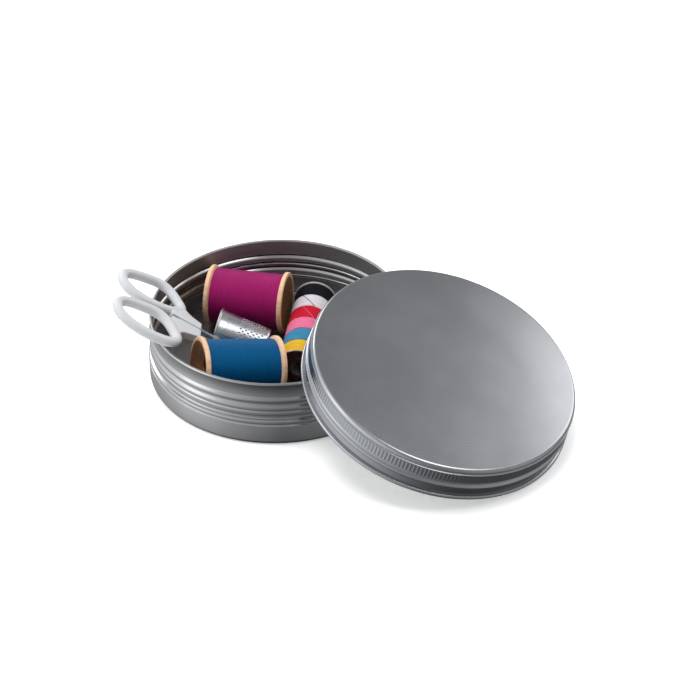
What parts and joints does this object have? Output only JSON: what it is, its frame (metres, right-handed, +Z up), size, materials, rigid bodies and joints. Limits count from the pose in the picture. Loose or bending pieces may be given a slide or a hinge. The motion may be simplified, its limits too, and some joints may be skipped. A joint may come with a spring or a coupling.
{
  "type": "sewing tin",
  "caption": "Round screw-top aluminium sewing tin, open, its lid leaning on the rim, with small scissors, wooden thread spools, a thimble and a stick of coloured threads.",
  "frame": {"origin": "centre of the tin's underside, on the surface it stands on", "axes": "+Z up out of the tin, +X along the picture from the scissors' loops towards the lid, +Y away from the viewer"},
  "size_m": [0.1422, 0.1166, 0.0366],
  "materials": {
    "tin_aluminium": "satin",
    "lid_aluminium": "satin",
    "liner_foam": "closed-cell foam",
    "spool_wood": "lightly waxed",
    "magenta_thread": "sewing thread",
    "blue_thread": "sewing thread",
    "thimble_metal": "satin",
    "blade_steel": "ground",
    "white_plastic": "moulded",
    "rivet_steel": "turned",
    "stick_plastic": "smoky",
    "black_thread": "sewing thread",
    "white_thread": "sewing thread",
    "red_thread": "sewing thread",
    "pink_thread": "sewing thread",
    "stick_blue_thread": "sewing thread",
    "yellow_thread": "sewing thread"
  },
  "bodies": {
    "tin": {"tin_body": "tin_aluminium"},
    "lid_pad": {"lid_liner": "liner_foam"},
    "lid_cover": {"lid_shell": "lid_aluminium"},
    "magenta_reel": {"magenta_spool": "spool_wood", "magenta_thread": "magenta_thread"},
    "blue_reel": {"blue_spool": "spool_wood", "blue_thread": "blue_thread"},
    "thimble_cup": {"thimble": "thimble_metal"},
    "scissors_pin": {"scissors_rivet": "rivet_steel"},
    "back_half": {"back_blade": "blade_steel", "back_handle": "white_plastic"},
    "front_half": {"front_blade": "blade_steel", "front_handle": "white_plastic"},
    "stick": {"thread_stick": "stick_plastic", "black_band": "black_thread", "white_band": "white_thread", "red_band": "red_thread", "pink_band": "pink_thread", "blue_band": "stick_blue_thread", "yellow_band": "yellow_thread"}
  },
  "joints": [
    {"name": "lid_lift", "type": "slide", "parent": "tin", "child": "lid_pad", "axis": [0.255, -0.1675, 0.9523], "range_m": [0, 0.03]},
    {"name": "lid_turn", "type": "hinge", "parent": "lid_pad", "child": "lid_cover", "pos_m": [0.04894, -0.03215, 0.01285], "axis": [0.255, -0.1675, 0.9523], "continuous": true},
    {"name": "magenta_reel_lift", "type": "slide", "parent": "tin", "child": "magenta_reel", "axis": [0, 0, 1], "range_m": [0, 0.06]},
    {"name": "blue_reel_lift", "type": "slide", "parent": "tin", "child": "blue_reel", "axis": [0, 0, 1], "range_m": [0, 0.03]},
    {"name": "thimble_lift", "type": "slide", "parent": "tin", "child": "thimble_cup", "axis": [0, 0.2402, 0.9707], "range_m": [0, 0.03]},
    {"name": "stick_lift", "type": "slide", "parent": "tin", "child": "stick", "axis": [0.029, 0.2193, 0.9752], "range_m": [0, 0.03]},
    {"name": "scissors_draw", "type": "slide", "parent": "tin", "child": "scissors_pin", "axis": [-0.8374, 0.0468, 0.5446], "range_m": [0, 0.05]},
    {"name": "back_half_opening", "type": "hinge", "parent": "scissors_pin", "child": "back_half", "pos_m": [-0.0197, -0.00702, 0.01443], "axis": [-0.5465, -0.0915, -0.8324], "range_deg": [0, 4]},
    {"name": "front_half_opening", "type": "hinge", "parent": "scissors_pin", "child": "front_half", "pos_m": [-0.0197, -0.00702, 0.01443], "axis": [0.5465, 0.0915, 0.8324], "range_deg": [0, 4]}
  ],
  "couplings": [
    {"joint": "front_half_opening", "follows": "back_half_opening", "ratio": 1}
  ]
}
